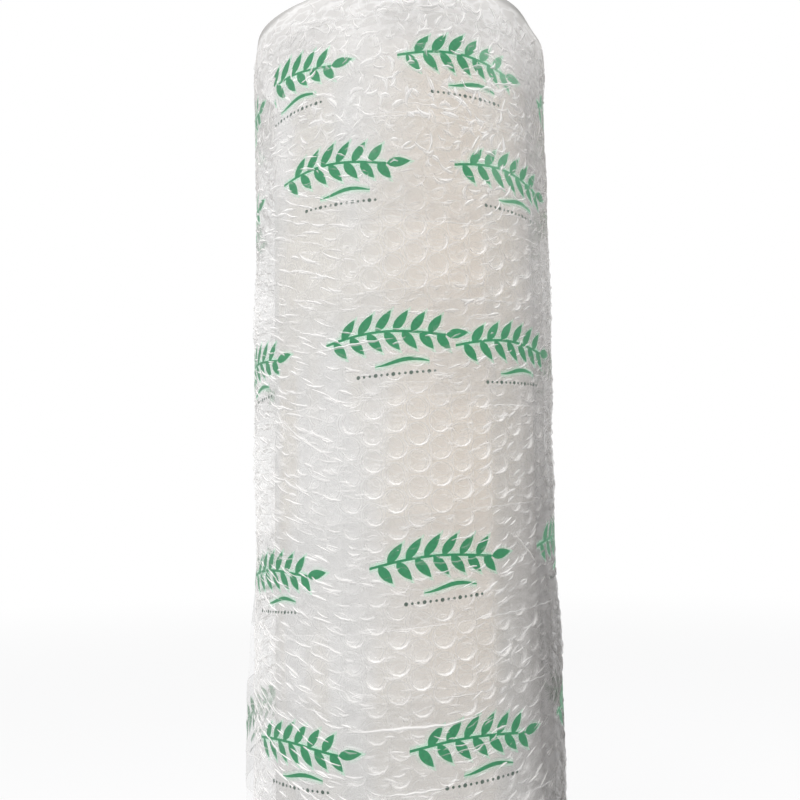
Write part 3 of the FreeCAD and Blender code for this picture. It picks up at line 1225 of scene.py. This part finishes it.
class ROLL_OT_stage(bpy.types.Operator):
    """Make the floor, the lights and the camera"""

    bl_idname = "roll.stage"
    bl_label = "Stage"

    def execute(self, context):
        make_floor()
        make_world()
        make_lights()
        make_camera()
        context.scene.view_settings.view_transform = "Standard"
        context.scene.cycles.transparent_max_bounces = 32
        context.scene.cycles.max_bounces = 6
        return {"FINISHED"}


def background_rays(shade):
    """1 for rays that see the pale background: the camera's, mirrored and through glass."""
    path = shade.add("ShaderNodeLightPath").source.node
    return shade.clamp(sum(Wire(shade, path.outputs[name]) for name in (
        "Is Camera Ray", "Is Glossy Ray", "Is Transmission Ray")))


def make_floor():
    """A wide pale floor that turns into the background far from the roll."""
    size = 12.0
    mesh = mesh_of("floor", np.array([(-size, -size, 0), (size, -size, 0),
                                      (size, size, 0), (-size, size, 0)]),
                   np.array([(0, 1, 2, 3)]))
    floor = add_object("floor", mesh)
    material, shade = new_material("pale_floor")
    x, y, _ = shade.parts(shade.own_place())
    far = shade.step((x * x + y * y) ** 0.5, 0.3, 2.5)
    seen = background_rays(shade)
    board = shade.add("ShaderNodeBsdfDiffuse", {}, {
        "Color": shade.blend(seen, (0.6, 0.6, 0.6), (0.9, 0.9, 0.9))})
    white = shade.add("ShaderNodeEmission", {}, {"Color": (1, 1, 1), "Strength": 1.0})
    shade.finish(shade.add("ShaderNodeMixShader", {}, {
        0: seen * (0.76 + far * 0.24), 1: board, 2: white}))
    mesh.materials.append(material)


def make_world():
    """A pale background, and soft light that is dimmer from the right."""
    world = bpy.data.worlds.new("studio")
    bpy.context.scene.world = world
    world.use_nodes = True
    world.node_tree.nodes.clear()
    shade = NodeMaker(world.node_tree)
    direction = shade.add("ShaderNodeTexCoord", {}, {}, "Generated")
    x, _, _ = shade.parts(direction)
    right = shade.step(x, -0.1, 0.6)
    lit = shade.blend(right, (0.70, 0.70, 0.72), (0.03, 0.03, 0.03))
    colour = shade.blend(background_rays(shade), lit, (1, 1, 1))
    light = shade.add("ShaderNodeBackground", {}, {"Color": colour, "Strength": 1.0})
    shade.add("ShaderNodeOutputWorld", {}, {"Surface": light})


def make_lights():
    """A large soft light high in front of the roll, and a weaker one to its right."""
    for name, place, target, size, power in (
            ("key_light", (-0.45, -1.22, 2.32), (0, 0, 0.28), 1.6, 43),
            ("fill_light", (0.8, -0.12, 1.1), (0, 0, 0.4), 0.5, 4.2)):
        light = bpy.data.lights.new(name, "AREA")
        light.size, light.energy = size, power
        lamp = add_object(name, light)
        lamp.location = place
        lamp.rotation_euler = (Vector(target) - Vector(place)).to_track_quat(
            "-Z", "Y").to_euler()


def make_camera():
    """A camera close in front of the roll's upper part, looking slightly up."""
    low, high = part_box("bubble_wrap")
    away, below = 5.317 * -low.y, 3.114 * -low.y
    data = bpy.data.cameras.new("camera")
    data.lens, data.sensor_width, data.shift_y = 35.18, 36.0, 0.075
    camera = add_object("camera", data)
    pitch, roll, yaw = math.radians(4.0), 0.013, math.radians(0.32)
    camera.matrix_world = (
        Matrix.Translation((0, -away, high.z - below))
        @ Matrix.Rotation(yaw, 4, "Z") @ Matrix.Rotation(math.radians(90) + pitch, 4, "X")
        @ Matrix.Rotation(-roll, 4, "Z"))
    bpy.context.scene.camera = camera


class ROLL_PT_panel(bpy.types.Panel):
    """Lists the steps that build the roll"""

    bl_idname = "ROLL_PT_panel"
    bl_label = "Film roll"
    bl_space_type = "VIEW_3D"
    bl_region_type = "UI"
    bl_category = "Film roll"

    def draw(self, context):
        for group in SETTINGS:
            settings = getattr(context.scene, group)
            box = self.layout.box()
            for name in settings.bl_rna.properties.keys():
                if name not in ("rna_type", "name"):
                    box.prop(settings, name)
        for operator in OPERATORS:
            self.layout.operator(operator.bl_idname)


OPERATORS = (ROLL_OT_film_roll, ROLL_OT_core, ROLL_OT_bubble_wrap, ROLL_OT_tape,
             ROLL_OT_stage)
CLASSES = (*SETTINGS.values(), *OPERATORS, ROLL_PT_panel)


def register():
    for item in CLASSES:
        bpy.utils.register_class(item)
    for name, group in SETTINGS.items():
        setattr(bpy.types.Scene, name, bpy.props.PointerProperty(type=group))


def unregister():
    for name in SETTINGS:
        delattr(bpy.types.Scene, name)
    for item in reversed(CLASSES):
        bpy.utils.unregister_class(item)


def main():
    """Build the roll and its stage."""
    register()
    bpy.ops.roll.film_roll()
    bpy.ops.roll.core()
    bpy.ops.roll.bubble_wrap()
    bpy.ops.roll.tape()
    bpy.ops.roll.stage()


if __name__ == "__main__":
    main()
